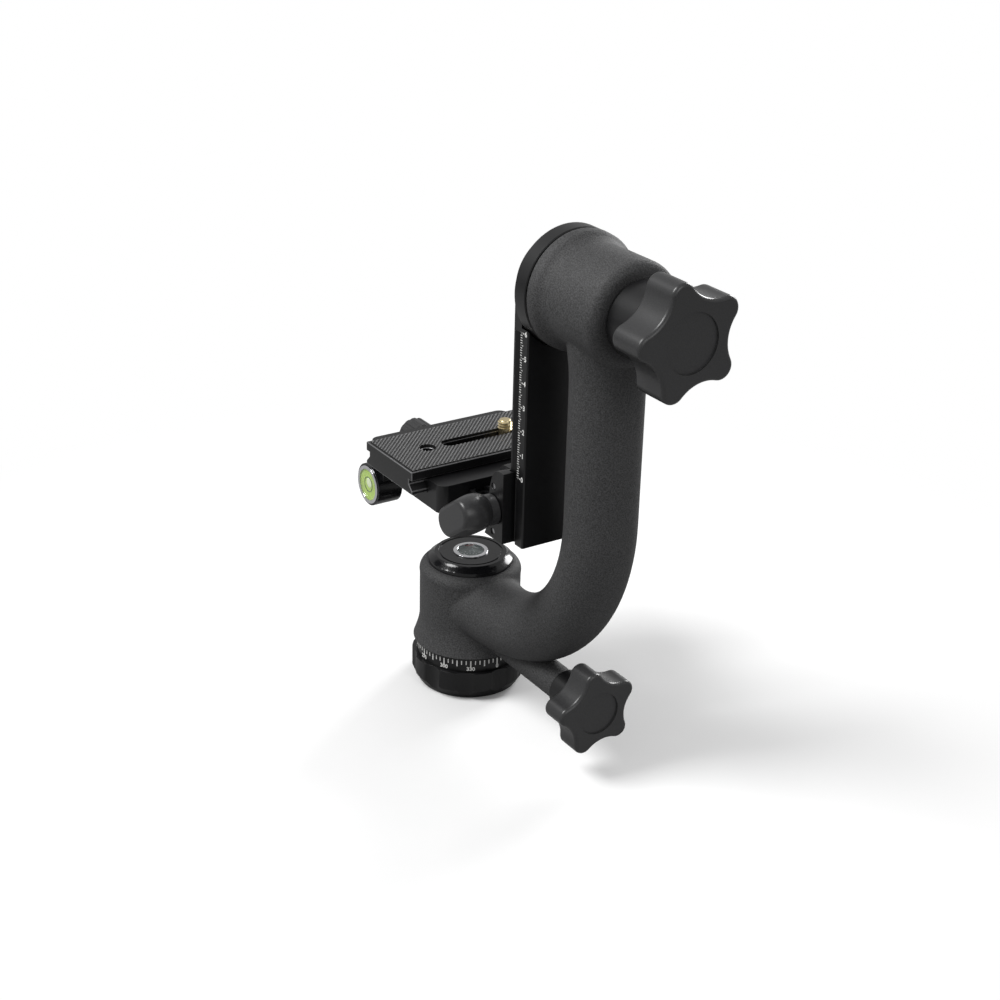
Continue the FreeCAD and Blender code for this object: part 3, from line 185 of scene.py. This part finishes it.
def finish(name, colour, rough, metal=0.0, grain=1500.0, contrast=0.2, height=0.00001, wear=0.05):
    """A surface with grain in its colour and height, and slightly uneven gloss."""
    material, tree, shader = new_material(name)
    fine = noise(tree, grain)
    broad = noise(tree, 30.0, 3.0)
    low = [c * (1 - contrast) for c in colour]
    high = [c * (1 + contrast) for c in colour]
    tree.links.new(two_tone(tree, fine, low, high), shader.inputs["Base Color"])
    tree.links.new(between(tree, broad, rough - wear, rough + wear), shader.inputs["Roughness"])
    shader.inputs["Metallic"].default_value = metal
    bump(tree, shader, fine, height)
    return material


# %% [markdown]
# The colours are the linear values of each surface: near black for anodised and moulded parts, a
# little paler for the gritty coat, and bright for bare metal.

# %% The finishes
powder = finish("powder_coat", (0.041, 0.041, 0.042), 0.70, grain=1900, contrast=0.62, height=0.00016)
anodised = finish("black_anodised", (0.0045, 0.0045, 0.0050), 0.34, grain=2600, height=0.000004)
gloss = finish("gloss_black", (0.007, 0.007, 0.008), 0.17, grain=900, height=0.000001)
steel = finish("steel", (0.52, 0.52, 0.53), 0.30, metal=1.0, grain=700, contrast=0.08, height=0.000002)
black_steel = finish("black_steel", (0.035, 0.035, 0.037), 0.42, metal=1.0, grain=1200, height=0.000003)
# Paler bare metal for the plate's bevel, which also paints a highlight along its edges.
bare_metal_highlight = finish("bare_edge_and_highlight", (0.24, 0.24, 0.245), 0.34, metal=0.85, grain=1200, contrast=0.12, height=0.000002)
brass = finish("brass", (0.88, 0.74, 0.44), 0.27, metal=1.0, grain=800, contrast=0.10, height=0.000003)
knob = finish("knob_plastic", (0.031, 0.031, 0.032), 0.33, grain=2300, contrast=0.22, height=0.000010)
nylon = finish("washer_plastic", (0.70, 0.69, 0.64), 0.60, grain=1100, contrast=0.06)
chrome = finish("chrome", (0.80, 0.80, 0.82), 0.12, metal=1.0, grain=600, contrast=0.04, height=0.000001)
ink = finish("white_print", (0.80, 0.80, 0.78), 0.58, grain=1800, contrast=0.08)
dial = finish("dial_print", (0.020, 0.032, 0.030), 0.30, grain=1500, contrast=0.20)
red = finish("needle_paint", (0.55, 0.035, 0.03), 0.35, grain=1500, contrast=0.12)
liquid = finish("vial_green", (0.62, 0.78, 0.12), 0.22, grain=160, contrast=0.16, height=0.000002)
bubble_skin = finish("bubble", (0.86, 0.92, 0.62), 0.12, grain=300, contrast=0.05, height=0.000001)
print("finishes:", len(bpy.data.materials))

# %% [markdown]
# Glass needs its own recipe: seen straight on, light passes through it, and toward its edges it
# mirrors the room more and more.

# %% Glass
mirror_power = 3.5
glass, tree, shader = new_material("clear_glass")
through = tree.nodes.new("ShaderNodeBsdfTransparent")
tree.links.new(two_tone(tree, noise(tree, 60), (0.93, 0.97, 0.96), (0.98, 1.0, 1.0)), through.inputs["Color"])
shader.inputs["Base Color"].default_value = (0.9, 0.94, 0.93, 1.0)
shader.inputs["Metallic"].default_value = 1.0
tree.links.new(between(tree, noise(tree, 90), 0.02, 0.07), shader.inputs["Roughness"])
angle_of_view = tree.nodes.new("ShaderNodeLayerWeight")
angle_of_view.inputs["Blend"].default_value = 0.5
mirror = tree.nodes.new("ShaderNodeMath")
mirror.operation = "POWER"
mirror.inputs[1].default_value = mirror_power
blend = tree.nodes.new("ShaderNodeMixShader")
tree.links.new(angle_of_view.outputs["Facing"], mirror.inputs[0])
tree.links.new(mirror.outputs[0], blend.inputs[0])
tree.links.new(through.outputs[0], blend.inputs[1])
tree.links.new(shader.outputs[0], blend.inputs[2])
tree.links.new(blend.outputs[0], tree.nodes["Material Output"].inputs["Surface"])

# %% [markdown]
# The pad's rubber is painted with shade between its ribs and with a paler painted highlight on their
# crests, so its colour follows the height.

# %% Rubber
rib_foot_z = 114.94
rib_crest_z = 115.18
rubber, tree, shader = new_material("pad_rubber")
place = tree.nodes.new("ShaderNodeTexCoord")
split = tree.nodes.new("ShaderNodeSeparateXYZ")
tree.links.new(place.outputs["Object"], split.inputs[0])
# Painted shade and highlight: the rubber goes from near black at the ribs' feet to pale grey at their crests.
painted_rib_shade = map_range(tree, split.outputs["Z"], mm(rib_foot_z), mm(rib_crest_z), 0.0, 1.0)
tree.links.new(two_tone(tree, painted_rib_shade, (0.003, 0.003, 0.003), (0.115, 0.115, 0.117), 0.25, 0.9),
               shader.inputs["Base Color"])
rubber_grain = noise(tree, 1900)
tree.links.new(between(tree, rubber_grain, 0.50, 0.68), shader.inputs["Roughness"])
bump(tree, shader, rubber_grain, 0.00002)

# %% [markdown]
# ## Dress the frame
# Every piece of the frame gets its finish. Its edges are broken by a narrow bevel, because a milled
# or moulded edge always catches a thin line of light.

# %% Paint the frame's pieces
dressed = {
    "powder_coat": (powder, ["arm_casting"]),
    "black_anodised": (anodised, [
        "base_grip", "degree_ring", "swing_arm", "tilt_flange", "axle_cap", "tilt_knob_neck", "pan_knob_neck",
        "rail_bracket", "platform_leg", "clamp_base", "clamp_jaw", "rail_jaw", "quick_plate"]),
    "gloss_black": (gloss, ["top_cap", "level_housing"]),
    "steel": (steel, [
        "thread_insert", "pan_spindle", "pan_inner_races", "pan_outer_races", "tilt_inner_races",
        "tilt_outer_races", "spindle_nut", "pan_stud", "tilt_axle", "tilt_pressure_washer", "height_stud",
        "clamp_stud", "rail_jaw_dowels", "jaw_guide_pins", "camera_screw_washer", "plate_stop_screw"]),
    "black_steel": (black_steel, [
        "base_screws", "flange_screws", "rail_stop_screw", "leg_screws", "clamp_screws", "level_screw"]),
    "brass": (brass, ["pan_shoe", "tilt_knob_insert", "camera_screw"]),
    "knob_plastic": (knob, ["pan_knob", "tilt_knob", "height_knob", "clamp_knob"]),
    "washer_plastic": (nylon, ["thrust_washer"]),
    "pad_rubber": (rubber, ["plate_pad"]),
    "chrome": (chrome, ["compass_ring", "compass_cup", "level_bezel"]),
    "dial_print": (dial, ["compass_dial"]),
    "needle_paint": (red, ["compass_needle"]),
    "clear_glass": (glass, ["compass_lens"]),
    "vial_green": (liquid, ["level_vial"]),
}
for slot_name, (material, names) in dressed.items():
    for name in names:
        nodes[name].data.materials.clear()
        nodes[name].data.materials.append(material)
print("painted:", sum(len(names) for _, names in dressed.values()))

# %% [markdown]
# The bevel stays a modifier, so the frame's own vertices aren't touched. A weld joins the split
# corners first, and weighted normals keep the flat faces flat.

# %% Break the edges
def soften(name, width, segments=2, angle=38.0):
    """Welds and bevels a piece of the frame, with the bevel's width in millimetres."""
    obj = nodes[name]
    select(obj)
    bpy.ops.object.shade_smooth()
    weld = obj.modifiers.new("weld", "WELD")
    weld.merge_threshold = 0.000002
    bevel = obj.modifiers.new("bevel", "BEVEL")
    bevel.width = mm(width)
    bevel.segments = segments
    bevel.limit_method = "ANGLE"
    bevel.angle_limit = math.radians(angle)
    normals = obj.modifiers.new("normals", "WEIGHTED_NORMAL")
    normals.keep_sharp = False


edge_width = {
    "arm_casting": 0.5, "tilt_knob": 0.35, "pan_knob": 0.35, "height_knob": 0.5, "clamp_knob": 0.25,
    "swing_arm": 0.25, "rail_bracket": 0.4, "rail_jaw": 0.4, "clamp_base": 0.35, "clamp_jaw": 0.35,
    "platform_leg": 0.3, "quick_plate": 0.35, "base_grip": 0.35, "degree_ring": 0.2, "tilt_flange": 0.25,
    "top_cap": 0.2, "tilt_knob_neck": 0.3, "pan_knob_neck": 0.3, "axle_cap": 0.2, "level_housing": 0.3,
}
small_edge = 0.1
for name in nodes:
    soften(name, edge_width.get(name, small_edge))
print("bevelled:", len(nodes))

# %% [markdown]
# The plate's bevel takes a second finish: paler bare metal that also paints a highlight along its
# edges. The bevel keeps its full width where two edges lie close together.

# %% Bright edges
plate_bevel = nodes["quick_plate"].modifiers["bevel"]
nodes["quick_plate"].data.materials.append(bare_metal_highlight)
plate_bevel.material = 1
plate_bevel.use_clamp_overlap = False

# %% [markdown]
# ## The height scale
# The swing arm carries a scale in millimetres on both narrow edges, numbered every centimetre.
# One mark of each length is made, repeated by an array, and the numerals are added last.

# %% Marks along the swing arm
scale_zero = 124.7
scale_x = 63.25
numeral_x = 66.75
numeral_size = 2.9
rail_half = 19.1
print_half = 0.04
stroke_swell = 0.07


def scale_row(side, length, count, step, thick):
    """A row of marks of one length up the rail's edge, as one piece."""
    face = side * rail_half
    mark = bar(scale_x, scale_x + length, face - print_half, face + print_half,
               scale_zero - thick / 2, scale_zero + thick / 2)
    return apply(mark, "ARRAY", use_relative_offset=False, use_constant_offset=True,
                 constant_offset_displace=(0, 0, mm(step)), count=count)


def numeral(text, size, place, turn):
    """A printed numeral, made into a thin mesh."""
    bpy.ops.object.text_add(location=place, rotation=turn)
    obj = bpy.context.object
    obj.data.body = text
    obj.data.size = mm(size)
    obj.data.align_x = "CENTER"
    obj.data.align_y = "CENTER"
    obj.data.extrude = mm(print_half)
    obj.data.offset = mm(stroke_swell)
    obj.data.resolution_u = 3
    select(obj)
    bpy.ops.object.convert(target="MESH")
    return settle(bpy.context.object)


for side, side_name in ((-1, "front"), (1, "back")):
    marks = [scale_row(side, 1.2, 61, 1.0, 0.26), scale_row(side, 1.8, 13, 5.0, 0.32),
             scale_row(side, 2.4, 7, 10.0, 0.42)]
    turn = (math.pi / 2, 0, 0 if side < 0 else math.pi)
    for number in range(7):
        place = at(numeral_x, side * (rail_half + 0.01), scale_zero + 10.0 * number)
        marks.append(numeral(str(number), numeral_size, place, turn))
    give(join(marks, "height_scale_" + side_name), ink, "swing")

# %% [markdown]
# ## The degree ring
# The ring under the housing is divided every five degrees, with a taller mark every fifteen and a
# number every thirty.

# %% Marks round the base
ring_r = 23.2
mark_top = 18.7
degree_z = 14.75
degree_size = 2.5
mark_depth = 0.10
ring_marks = []
for degree in range(0, 360, 5):
    angle = math.radians(degree)
    tall = degree % 15 == 0
    height = 2.9 if tall else 1.9
    width = 0.55 if tall else 0.45
    place = at(ring_r * math.cos(angle), ring_r * math.sin(angle), mark_top - height / 2)
    bpy.ops.mesh.primitive_cube_add(size=1, location=place, rotation=(0, 0, angle),
                                    scale=at(mark_depth, width, height))
    ring_marks.append(settle(bpy.context.object))
for degree in range(0, 360, 30):
    angle = math.radians(degree)
    place = at((ring_r + 0.05) * math.cos(angle), (ring_r + 0.05) * math.sin(angle), degree_z)
    ring_marks.append(numeral(str(degree), degree_size, place, (math.pi / 2, 0, angle + math.pi / 2)))
give(join(ring_marks, "degree_marks"), ink, "base")

# %% [markdown]
# ## The compass card
# A card with a pale rose lies under the needle. Each point of the rose is a thin triangle, and a
# ring of short marks runs round it.

# %% The compass rose
dial_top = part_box("compass_dial")[0][2] * 1000 + 0.62
print_depth = 0.06
point_width = 1.25
tick_r = 5.2
tick_width = 0.24
rose = []
for step in range(8):
    angle = step * math.pi / 4
    reach = 3.9 if step % 2 == 0 else 2.7
    place = at(math.cos(angle) * reach / 2, math.sin(angle) * reach / 2, dial_top)
    bpy.ops.mesh.primitive_cone_add(vertices=3, radius1=0.5, radius2=0.5, depth=1, location=place,
                                    rotation=(0, 0, angle), scale=at(reach, point_width, print_depth))
    rose.append(settle(bpy.context.object))
for step in range(24):
    angle = step * math.pi / 12
    length = 1.1 if step % 6 == 0 else 0.6
    place = at(math.cos(angle) * tick_r, math.sin(angle) * tick_r, dial_top)
    bpy.ops.mesh.primitive_cube_add(size=1, location=place, rotation=(0, 0, angle),
                                    scale=at(length, tick_width, print_depth))
    rose.append(settle(bpy.context.object))
give(join(rose, "compass_rose"), ink, "arm")

# %% [markdown]
# ## The ribbed pad
# The plate's rubber pad has fine diagonal ribs, crossed by a second set that is much lower. A thin
# prism is repeated across the pad, then everything outside the pad's outline is cut away. The pad
# is open at the slot and at the hole, so those shapes are cut from both the sheet and the ribs.

# %% Tools for the pad
plate_x = 0.9
pad_half = 17.75
pad_end = 40.25
pad_bottom = 113.9
sheet_top = 114.95
rib_z0 = 114.85
rib_z = 114.92
rib_r = 0.62
rib_pitch = 1.4
rib_count = 70
rib_length = 120
main_rib_top = 115.2
cross_rib_top = 115.04
tool_z0 = 112
tool_z1 = 117
slot_half = 3.45
slot_y0 = -15.6
slot_y1 = 22.1
hole_r = 3.5
hole_y = -22.7


def slot_tool(half, y0, y1, z0, z1):
    """A bar with round ends: a drum whose two halves are pulled apart."""
    obj = drum(half, z0, z1, plate_x, (y0 + y1) / 2, 48)
    middle = mm((y0 + y1) / 2)
    reach = mm((y1 - y0) / 2 - half)
    for sign in (-1, 1):
        select(obj)
        bpy.ops.object.mode_set(mode="EDIT")
        bpy.ops.mesh.select_all(action="DESELECT")
        bpy.ops.object.mode_set(mode="OBJECT")
        for vertex in obj.data.vertices:
            vertex.select = sign * (vertex.co.y - middle) > 1e-6
        bpy.ops.object.mode_set(mode="EDIT")
        bpy.ops.mesh.select_mode(type="VERT")
        bpy.ops.transform.translate(value=(0, sign * reach, 0))
        bpy.ops.object.mode_set(mode="OBJECT")
    return obj


def open_pad(obj):
    """Cuts the slot and the hole."""
    cut(obj, slot_tool(slot_half, slot_y0, slot_y1, tool_z0, tool_z1))
    cut(obj, drum(hole_r, tool_z0, tool_z1, plate_x, hole_y, 40))
    return obj


def rib_field(angle, top):
    """Parallel ribs at an angle, trimmed to the pad and to a height."""
    bpy.ops.mesh.primitive_cylinder_add(vertices=3, radius=mm(rib_r), depth=mm(rib_length),
                                        location=(0, 0, 0), rotation=(math.pi / 2, 0, 0))
    rib = settle(bpy.context.object)
    apply(rib, "ARRAY", use_relative_offset=False, use_constant_offset=True,
          constant_offset_displace=(mm(rib_pitch), 0, 0), count=rib_count)
    rib.rotation_euler = (0, 0, angle)
    shift = Matrix.Rotation(angle, 3, "Z") @ Vector((mm(-rib_pitch * (rib_count - 1) / 2), 0, 0))
    rib.location = Vector(at(plate_x, 0, rib_z)) + shift
    settle(rib)
    trim = bar(plate_x - pad_half, plate_x + pad_half, -pad_end, pad_end, rib_z0, top)
    return open_pad(cut(rib, trim, "INTERSECT"))


# %% Build the pad
sheet = bar(plate_x - pad_half, plate_x + pad_half, -pad_end, pad_end, pad_bottom, sheet_top)
apply(sheet, "BEVEL", width=mm(0.3), segments=2)
open_pad(sheet)
pad_parts = [sheet]
pad_parts += [rib_field(math.radians(45), main_rib_top), rib_field(math.radians(-45), cross_rib_top)]
pad = join(pad_parts, "ribbed_pad")
give(pad, rubber, "plate")
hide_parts("plate_pad")

# %% [markdown]
# ## The camera screw
# The brass screw has a real thread. A small triangle is swept up a helix by the screw modifier, and
# a core and a slotted head complete it.

# %% The threaded screw
screw_x = plate_x
screw_y = 15.7
screw_r = 3.175
pitch = 1.27
thread_depth = 0.72
thread_z0 = 115.75
screw_top = 120.2
core_r = screw_r - 0.62
head_r = 5.6
head_top = 109.8
head_z0 = 106.2
driver_half = 0.6
driver_z0 = 105.5
driver_z1 = 107.6
bpy.ops.mesh.primitive_circle_add(vertices=3, radius=mm(thread_depth), fill_type="NOTHING",
                                  location=at(screw_r - thread_depth, 0, thread_z0),
                                  rotation=(math.pi / 2, math.pi / 2, 0))
thread = settle(bpy.context.object)
apply(thread, "SCREW", axis="Z", angle=2 * math.pi, screw_offset=mm(pitch), iterations=3, steps=28,
      render_steps=28, use_merge_vertices=False)
thread.location = at(screw_x, screw_y, 0)
settle(thread)
core = drum(core_r, head_z0 + 0.2, screw_top, screw_x, screw_y, 40)
apply(core, "BEVEL", width=mm(0.45), segments=3, limit_method="ANGLE")
head = drum(head_r, head_z0, head_top, screw_x, screw_y, 64)
apply(head, "BEVEL", width=mm(0.35), segments=3, limit_method="ANGLE")
cut(head, bar(screw_x - 7, screw_x + 7, screw_y - driver_half, screw_y + driver_half,
              driver_z0, driver_z1))
screw = join([core, thread, head], "threaded_camera_screw")
select(screw)
bpy.ops.object.shade_smooth_by_angle(angle=math.radians(35))
give(screw, brass, "mount_screw")
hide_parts("camera_screw")

# %% [markdown]
# ## The bubble level
# The round vial shows a pale bubble inside a printed circle, under a slightly domed window.

# %% Bubble, circle and window
level_x = -30.2
level_z = 88.6
level_y = -34.0
bubble_r = 2.3
circle_r = 3.3
circle_line = 0.16
window_r = 6.95
lens_depth = 0.28
bpy.ops.mesh.primitive_uv_sphere_add(segments=32, ring_count=16, radius=1.0,
                                     location=at(level_x + 0.5, level_y + 0.05, level_z + 0.9),
                                     scale=at(bubble_r, lens_depth, bubble_r))
bubble = join([settle(bpy.context.object)], "level_bubble")
select(bubble)
bpy.ops.object.shade_smooth()
give(bubble, bubble_skin, "plate_clamp")
bpy.ops.mesh.primitive_torus_add(major_segments=48, minor_segments=8, major_radius=mm(circle_r),
                                 minor_radius=mm(circle_line), rotation=(math.pi / 2, 0, 0),
                                 location=at(level_x, level_y - 0.02, level_z))
circle = join([settle(bpy.context.object)], "level_circle")
give(circle, dial, "plate_clamp")
bpy.ops.mesh.primitive_uv_sphere_add(segments=48, ring_count=24, radius=1.0,
                                     location=at(level_x, level_y - 0.30, level_z),
                                     scale=at(window_r, lens_depth, window_r))
window = join([settle(bpy.context.object)], "level_window")
select(window)
bpy.ops.object.shade_smooth()
give(window, glass, "plate_clamp")

# %% [markdown]
# ## Stage, light and camera
# The head stands on a pale floor. A large soft light from the upper left does most of the work, a
# second one behind picks out the edges, a weak one in front opens the darkest faces, and the sky
# fills the rest. The floor looks pale to the camera but throws little light back up, and it fades
# to white away from the head.

# %% Floor and sky
floor_size = 14
fade_start = 0.10
fade_end = 0.34
bpy.ops.mesh.primitive_plane_add(size=floor_size, location=(0, 0, -0.0002))
floor = bpy.context.object
floor.name = "floor"
paint, tree, shader = new_material("floor_paint")
shader.inputs["Roughness"].default_value = 0.9
ray = tree.nodes.new("ShaderNodeLightPath")
speckle = map_range(tree, noise(tree, 40), 0.0, 1.0, 0.87, 0.89)
shade = tree.nodes.new("ShaderNodeMapRange")
shade.inputs["To Min"].default_value = 0.28
tree.links.new(ray.outputs["Is Camera Ray"], shade.inputs["Value"])
tree.links.new(speckle, shade.inputs["To Max"])
tree.links.new(shade.outputs["Result"], shader.inputs["Base Color"])
place = tree.nodes.new("ShaderNodeTexCoord")
distance = tree.nodes.new("ShaderNodeVectorMath")
distance.operation = "LENGTH"
tree.links.new(place.outputs["Object"], distance.inputs[0])
fade = map_range(tree, distance.outputs["Value"], fade_start, fade_end, 0.0, 1.0)
fade.node.interpolation_type = "SMOOTHSTEP"
seen = tree.nodes.new("ShaderNodeMath")
seen.operation = "MULTIPLY"
tree.links.new(fade, seen.inputs[0])
tree.links.new(ray.outputs["Is Camera Ray"], seen.inputs[1])
white = tree.nodes.new("ShaderNodeEmission")
mix = tree.nodes.new("ShaderNodeMixShader")
tree.links.new(seen.outputs[0], mix.inputs[0])
tree.links.new(shader.outputs[0], mix.inputs[1])
tree.links.new(white.outputs[0], mix.inputs[2])
tree.links.new(mix.outputs[0], tree.nodes["Material Output"].inputs["Surface"])
floor.data.materials.append(paint)
world = bpy.data.worlds.new("sky")
world.use_nodes = True
bpy.context.scene.world = world
sky = world.node_tree.nodes["Background"]
sky.inputs["Color"].default_value = (1.0, 1.0, 1.0, 1.0)
ray = world.node_tree.nodes.new("ShaderNodeLightPath")
strength = map_range(world.node_tree, ray.outputs["Is Camera Ray"], 0.0, 1.0, 0.44, 1.0)
world.node_tree.links.new(strength, sky.inputs["Strength"])

# %% Lights
camera_right = Vector((0.541516, 0.840360, 0.023326))
camera_up = Vector((-0.361500, 0.207719, 0.908940))
camera_back = Vector((0.759000, -0.500640, 0.416280))
target = Vector((0.03, 0.0, 0.12))


def soft_light(name, right, up, back, size, power):
    """An area light placed from the camera, aimed at the head."""
    place = target + camera_right * right + camera_up * up + camera_back * back
    bpy.ops.object.light_add(type="AREA", location=place)
    lamp = bpy.context.object
    lamp.name = name
    lamp.data.size = size
    lamp.data.energy = power
    lamp.rotation_euler = (target - place).to_track_quat("-Z", "Y").to_euler()


soft_light("key", -0.75, 0.85, 0.55, 0.55, 14.0)
soft_light("edge", 0.70, 0.75, -0.70, 0.5, 10.0)
soft_light("front", 0.55, 0.15, 0.95, 0.6, 2.0)

# %% Camera
bpy.ops.object.camera_add()
camera = bpy.context.object
camera.name = "portrait_camera"
camera.data.lens = 66.44
camera.data.sensor_width = 36.0
camera.data.shift_x = -0.0060
camera.data.shift_y = -0.0009
camera.data.clip_start = 0.01
place = Matrix((camera_right, camera_up, camera_back)).transposed().to_4x4()
place.translation = Vector((0.61300, -0.38653, 0.41790))
camera.matrix_world = place
bpy.context.scene.camera = camera
bpy.context.scene.view_settings.view_transform = "Standard"
